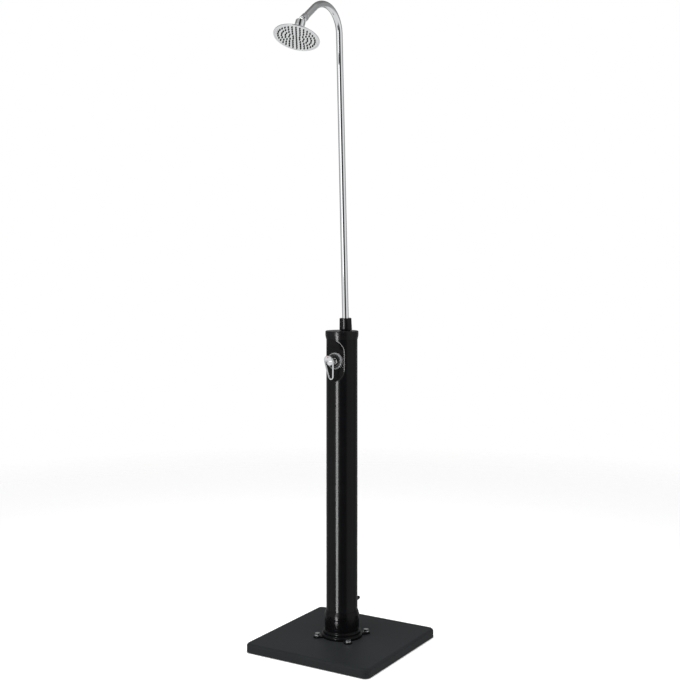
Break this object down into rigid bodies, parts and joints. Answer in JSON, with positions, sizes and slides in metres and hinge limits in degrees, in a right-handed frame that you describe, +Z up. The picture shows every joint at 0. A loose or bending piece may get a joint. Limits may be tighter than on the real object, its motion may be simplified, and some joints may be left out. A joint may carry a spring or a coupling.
{
  "type": "outdoor shower post",
  "caption": "Free-standing outdoor solar shower: black tank post on a square weighted base, single-lever mixer in a dished front, chrome gooseneck riser and tilting rain head.",
  "frame": {"origin": "centre of the base's underside, where the pads stand on the floor, under the tank's axis", "axes": "+Z up along the tank; the tap and the spray face -Y; the hose connector points +Y; +X completes the right-handed frame"},
  "size_m": [0.468, 0.5795, 2.1432],
  "materials": {
    "gloss_black": "glossy black",
    "base_grey": "matte dark grey, fine grain",
    "base_tray": "matte",
    "ballast": "cast, rough",
    "zinc_steel": "zinc plated",
    "bolt_steel": "bright steel",
    "rubber": "soft black",
    "nozzle_rubber": "soft dark grey silicone",
    "chrome": "polished",
    "head_face": "satin chrome",
    "brass": "turned",
    "hose_black": "satin black",
    "water_tube": "milky",
    "cartridge": "moulded white",
    "ceramic": "lapped",
    "index": "glossy"
  },
  "bodies": {
    "tank": {"base_shell": "base_grey", "base_tray": "base_tray", "base_ballast": "ballast", "backing_plate": "zinc_steel", "base_pads": "rubber", "tray_screws": "zinc_steel", "foot_flange": "gloss_black", "flange_bolts": "bolt_steel", "flange_washers": "bolt_steel", "flange_nuts": "zinc_steel", "tank_tube": "gloss_black", "tank_plug": "gloss_black", "cap_gasket": "rubber", "top_cap": "gloss_black", "inlet_elbow": "brass", "inlet_seal": "rubber", "inlet_locknut": "brass", "hose_connector": "hose_black", "hose_seal": "rubber", "inlet_filter": "zinc_steel", "cold_feed_tube": "water_tube", "mixed_water_tube": "water_tube", "mixer_body": "brass", "wall_gasket": "rubber", "mixer_locknut": "brass", "tap_rose": "gloss_black", "cartridge_nut": "gloss_black", "cartridge_case": "cartridge", "fixed_disc": "ceramic", "riser_seals": "rubber", "riser_nut": "gloss_black"},
    "riser": {"riser_pipe": "chrome", "riser_catch_ring": "brass", "ball_connector": "chrome", "connector_washer": "rubber"},
    "liner": {"ball_liner": "cartridge"},
    "head": {"swivel_nut": "chrome", "head_shell": "chrome", "nozzle_mat": "nozzle_rubber", "head_face": "head_face", "face_screws": "bolt_steel"},
    "rotor": {"cartridge_rotor": "cartridge", "pivot_pin": "bolt_steel"},
    "disc": {"moving_disc": "ceramic"},
    "lever": {"lever_spindle": "brass", "lever_handle": "chrome", "grub_screw": "bolt_steel", "index_plug": "index"}
  },
  "joints": [
    {"name": "riser_swivel", "type": "hinge", "parent": "tank", "child": "riser", "pos_m": [0, 0.025, 1.0547], "axis": [0, -0.0419, 0.9991], "continuous": true},
    {"name": "head_turn", "type": "hinge", "parent": "riser", "child": "liner", "pos_m": [0, -0.25335, 2.04763], "axis": [0, -0.7948, -0.6068], "continuous": true},
    {"name": "head_tilt", "type": "hinge", "parent": "liner", "child": "head", "pos_m": [0, -0.25335, 2.04763], "axis": [1, 0, 0], "range_deg": [-62.6, 3.3]},
    {"name": "mixer_turn", "type": "hinge", "parent": "tank", "child": "rotor", "pos_m": [0, -0.0335, 0.957], "axis": [0, -1, 0], "range_deg": [-45, 45]},
    {"name": "lever_lift", "type": "hinge", "parent": "rotor", "child": "lever", "pos_m": [0, -0.0375, 0.957], "axis": [-1, 0, 0], "range_deg": [0, 22]},
    {"name": "disc_slide", "type": "slide", "parent": "rotor", "child": "disc", "axis": [0, 0, -1], "range_m": [0, 0.0031]}
  ],
  "couplings": [
    {"joint": "disc_slide", "follows": "lever_lift", "m_per_rad": 0.0078}
  ]
}
